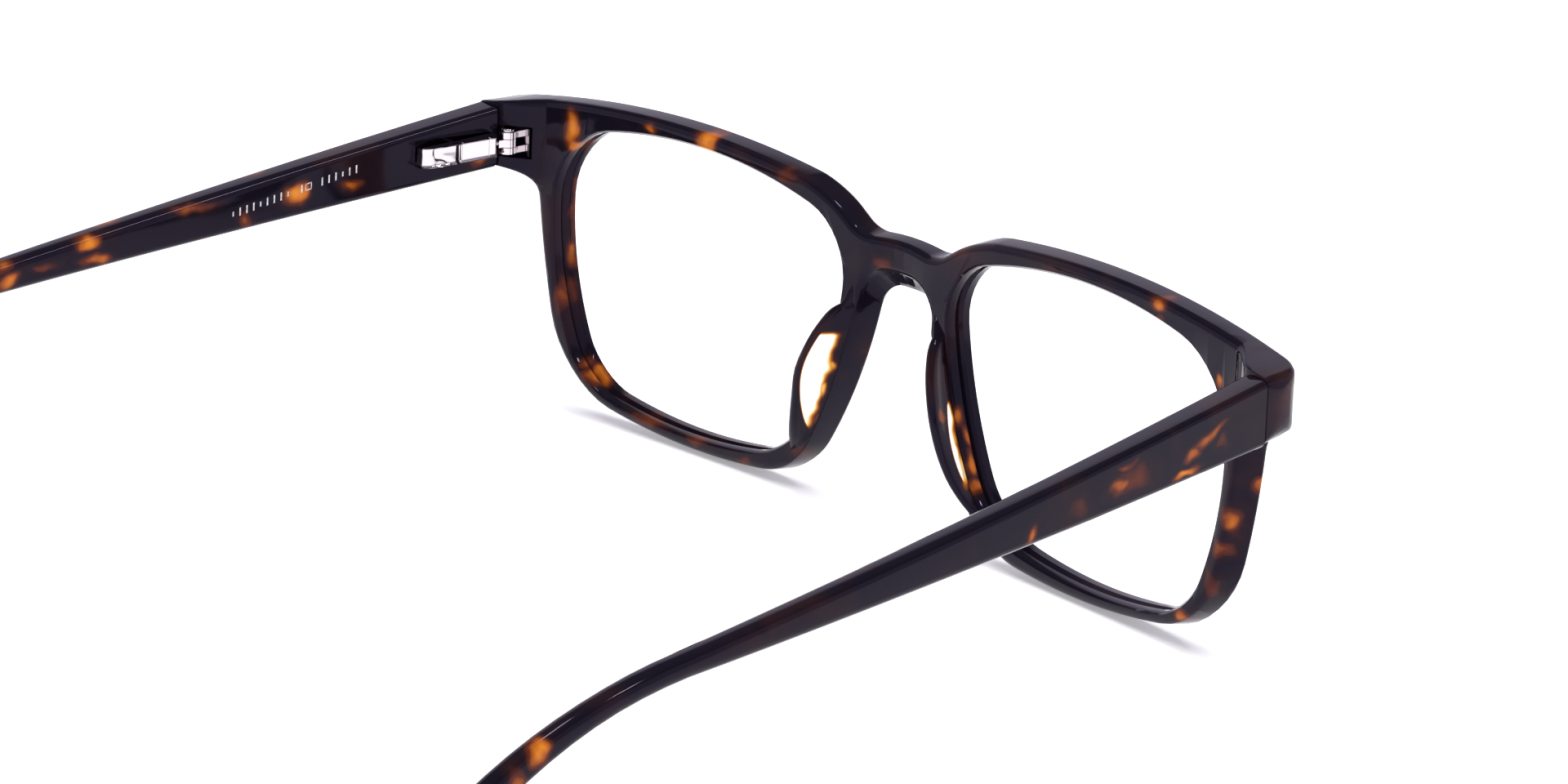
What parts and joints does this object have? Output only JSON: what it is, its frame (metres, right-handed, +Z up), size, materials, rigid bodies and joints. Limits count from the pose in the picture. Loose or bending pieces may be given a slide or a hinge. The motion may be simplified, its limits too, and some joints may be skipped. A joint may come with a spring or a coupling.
{
  "type": "eyeglasses frame",
  "caption": "Full-rim acetate eyeglasses frame with fin nose pads and folding temples on barrel spring hinges, standing open.",
  "frame": {"origin": "centre of the bounding box's base, on the table the frame stands on", "axes": "+Z up, the front faces -Y, the temples run towards +Y, +X is the wearer's left"},
  "size_m": [0.1648, 0.1484, 0.043],
  "materials": {
    "front_acetate": "polished tortoiseshell acetate",
    "temple_acetate": "polished tortoiseshell acetate",
    "pad_acetate": "polished clear amber acetate",
    "chrome": "polished",
    "spring_steel": "drawn",
    "wire_steel": "drawn"
  },
  "bodies": {
    "front": {"front_frame": "front_acetate", "nose_pad_left": "pad_acetate", "nose_pad_right": "pad_acetate", "hinge_leaf_left": "chrome", "hinge_leaf_right": "chrome"},
    "screw_left": {"hinge_screw_left": "chrome"},
    "screw_right": {"hinge_screw_right": "chrome"},
    "knuckle_left": {"hinge_slider_left": "chrome"},
    "knuckle_right": {"hinge_slider_right": "chrome"},
    "temple_left": {"temple_left": "temple_acetate", "core_wire_left": "wire_steel", "hinge_housing_left": "chrome", "spring_stop_left": "spring_steel", "hinge_spring_left": "spring_steel"},
    "temple_right": {"temple_right": "temple_acetate", "core_wire_right": "wire_steel", "hinge_housing_right": "chrome", "spring_stop_right": "spring_steel", "hinge_spring_right": "spring_steel"}
  },
  "joints": [
    {"name": "fold_left", "type": "hinge", "parent": "front", "child": "screw_left", "pos_m": [0.06975, -0.06376, 0.0349], "axis": [0, 0, 1], "range_deg": [0, 93]},
    {"name": "fold_right", "type": "hinge", "parent": "front", "child": "screw_right", "pos_m": [-0.06975, -0.06376, 0.0349], "axis": [0, 0, -1], "range_deg": [0, 79]},
    {"name": "flex_left", "type": "hinge", "parent": "screw_left", "child": "knuckle_left", "pos_m": [0.06975, -0.06376, 0.0349], "axis": [0, 0, 1], "range_deg": [-6, 0], "stiffness_Nm_per_rad": 0.8, "springref_deg": 1.72},
    {"name": "flex_right", "type": "hinge", "parent": "screw_right", "child": "knuckle_right", "pos_m": [-0.06975, -0.06376, 0.0349], "axis": [0, 0, -1], "range_deg": [-6, 0], "stiffness_Nm_per_rad": 0.8, "springref_deg": 1.72},
    {"name": "slide_left", "type": "slide", "parent": "knuckle_left", "child": "temple_left", "axis": [0.1219, 0.9925, 0], "range_m": [0, 0.0006], "deforming": ["hinge_spring_left"]},
    {"name": "slide_right", "type": "slide", "parent": "knuckle_right", "child": "temple_right", "axis": [-0.1219, 0.9925, 0], "range_m": [0, 0.0006], "deforming": ["hinge_spring_right"]}
  ],
  "couplings": [
    {"joint": "slide_left", "follows": "flex_left", "m_per_rad": -0.0056},
    {"joint": "slide_right", "follows": "flex_right", "m_per_rad": -0.0056}
  ]
}
